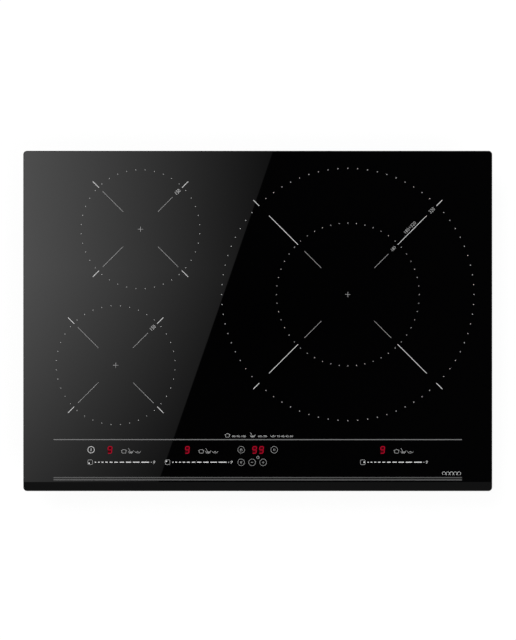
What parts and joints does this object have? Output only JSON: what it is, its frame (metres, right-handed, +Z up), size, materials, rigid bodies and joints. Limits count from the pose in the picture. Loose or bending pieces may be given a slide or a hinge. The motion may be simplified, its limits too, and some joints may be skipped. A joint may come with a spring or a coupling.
{
  "type": "electric induction cooktop",
  "caption": "Built-in electric induction cooktop: black glass with a bevelled front edge over a shallow steel casing with coils, fans and touch control.",
  "frame": {"origin": "centre of the base, on the plane the casing's ribs stand on", "axes": "+Z up, out of the glass; +X to the right and +Y to the rear, as the user at the control edge sees it"},
  "size_m": [0.7, 0.508, 0.056],
  "materials": {
    "glass_black": "opaque black glass-ceramic, polished, ground edges",
    "print_grey": "fired ceramic print, pale grey, on the glass",
    "foam_black": "closed-cell foam strip",
    "silicone_black": "cured silicone bead",
    "steel_galvanised": "hot-dip galvanised sheet with faint spangle",
    "aluminium": "mill-finish aluminium",
    "spring_steel": "tempered spring steel, oiled",
    "screw_zinc": "zinc-plated steel",
    "winding_copper": "enamelled litz wire, flat spiral",
    "former_plastic": "heat-proof moulded plastic",
    "insulation_felt": "pressed ceramic-fibre felt",
    "nylon_natural": "natural nylon moulding",
    "plastic_black": "black moulded plastic, fine spark texture",
    "circuit_board": "green solder mask over glass-fibre board",
    "display_red": "red seven-segment display",
    "ribbon_grey": "grey flat cable",
    "lead_sleeve": "woven glass-fibre sleeve"
  },
  "bodies": {
    "housing": {"glass_plate": "glass_black", "worktop_seal": "foam_black", "glass_adhesive": "silicone_black", "support_frame": "steel_galvanised", "casing_tray": "steel_galvanised", "coil_plate": "aluminium", "coil_former_left_rear": "former_plastic", "coil_former_left_front": "former_plastic", "coil_former_right": "former_plastic", "coil_winding_left_rear": "winding_copper", "coil_winding_left_front": "winding_copper", "coil_winding_right_inner": "winding_copper", "coil_winding_right_outer": "winding_copper", "insulation_left_rear": "insulation_felt", "insulation_left_front": "insulation_felt", "insulation_right": "insulation_felt", "sensor_left_rear": "nylon_natural", "sensor_left_front": "nylon_natural", "sensor_right": "nylon_natural", "coil_spring_left_rear": "spring_steel", "coil_spring_left_front": "spring_steel", "coil_spring_right": "spring_steel", "coil_lead_left_rear": "lead_sleeve", "coil_lead_left_front": "lead_sleeve", "coil_lead_right": "lead_sleeve", "board_carrier_left": "plastic_black", "power_board_left": "circuit_board", "heatsink_left": "aluminium", "fan_housing_left": "plastic_black", "board_carrier_right": "plastic_black", "power_board_right": "circuit_board", "heatsink_right": "aluminium", "fan_housing_right": "plastic_black", "filter_board": "circuit_board", "mains_choke": "winding_copper", "terminal_box": "plastic_black", "terminal_block": "nylon_natural", "cable_clamp": "nylon_natural", "control_carrier": "nylon_natural", "control_board": "circuit_board", "ribbon_cable": "ribbon_grey", "display_left_front": "display_red", "display_left_rear": "display_red", "display_timer": "display_red", "display_right": "display_red", "clamp_screw_front_left": "screw_zinc", "clamp_screw_front_right": "screw_zinc", "clamp_screw_rear_left": "screw_zinc", "clamp_screw_rear_right": "screw_zinc", "case_screw_front_left": "screw_zinc", "case_screw_front_right": "screw_zinc", "case_screw_rear_left": "screw_zinc", "case_screw_rear_right": "screw_zinc"},
    "fan_left": {"fan_rotor_left": "plastic_black"},
    "fan_right": {"fan_rotor_right": "plastic_black"},
    "clamp_front_left": {"worktop_clamp_front_left": "spring_steel"},
    "clamp_front_right": {"worktop_clamp_front_right": "spring_steel"},
    "clamp_rear_left": {"worktop_clamp_rear_left": "spring_steel"},
    "clamp_rear_right": {"worktop_clamp_rear_right": "spring_steel"},
    "lid": {"terminal_lid": "plastic_black"}
  },
  "joints": [
    {"name": "fan_left_spin", "type": "hinge", "parent": "housing", "child": "fan_left", "pos_m": [-0.20069, 0.14, 0.015], "axis": [0, 0, 1], "continuous": true},
    {"name": "fan_right_spin", "type": "hinge", "parent": "housing", "child": "fan_right", "pos_m": [0.20069, 0.14, 0.015], "axis": [0, 0, 1], "continuous": true},
    {"name": "clamp_front_left_swing", "type": "hinge", "parent": "housing", "child": "clamp_front_left", "pos_m": [-0.303, -0.17, 0.0145], "axis": [0, 0, 1], "range_deg": [0, 90]},
    {"name": "clamp_front_right_swing", "type": "hinge", "parent": "housing", "child": "clamp_front_right", "pos_m": [0.303, -0.17, 0.0145], "axis": [0, 0, -1], "range_deg": [0, 90]},
    {"name": "clamp_rear_left_swing", "type": "hinge", "parent": "housing", "child": "clamp_rear_left", "pos_m": [-0.303, 0.17, 0.0145], "axis": [0, 0, -1], "range_deg": [0, 90]},
    {"name": "clamp_rear_right_swing", "type": "hinge", "parent": "housing", "child": "clamp_rear_right", "pos_m": [0.303, 0.17, 0.0145], "axis": [0, 0, 1], "range_deg": [0, 90]},
    {"name": "lid_hinge", "type": "hinge", "parent": "housing", "child": "lid", "pos_m": [0.035, 0.17601, 0.00575], "axis": [-1, 0, 0], "range_deg": [0, 95]}
  ]
}
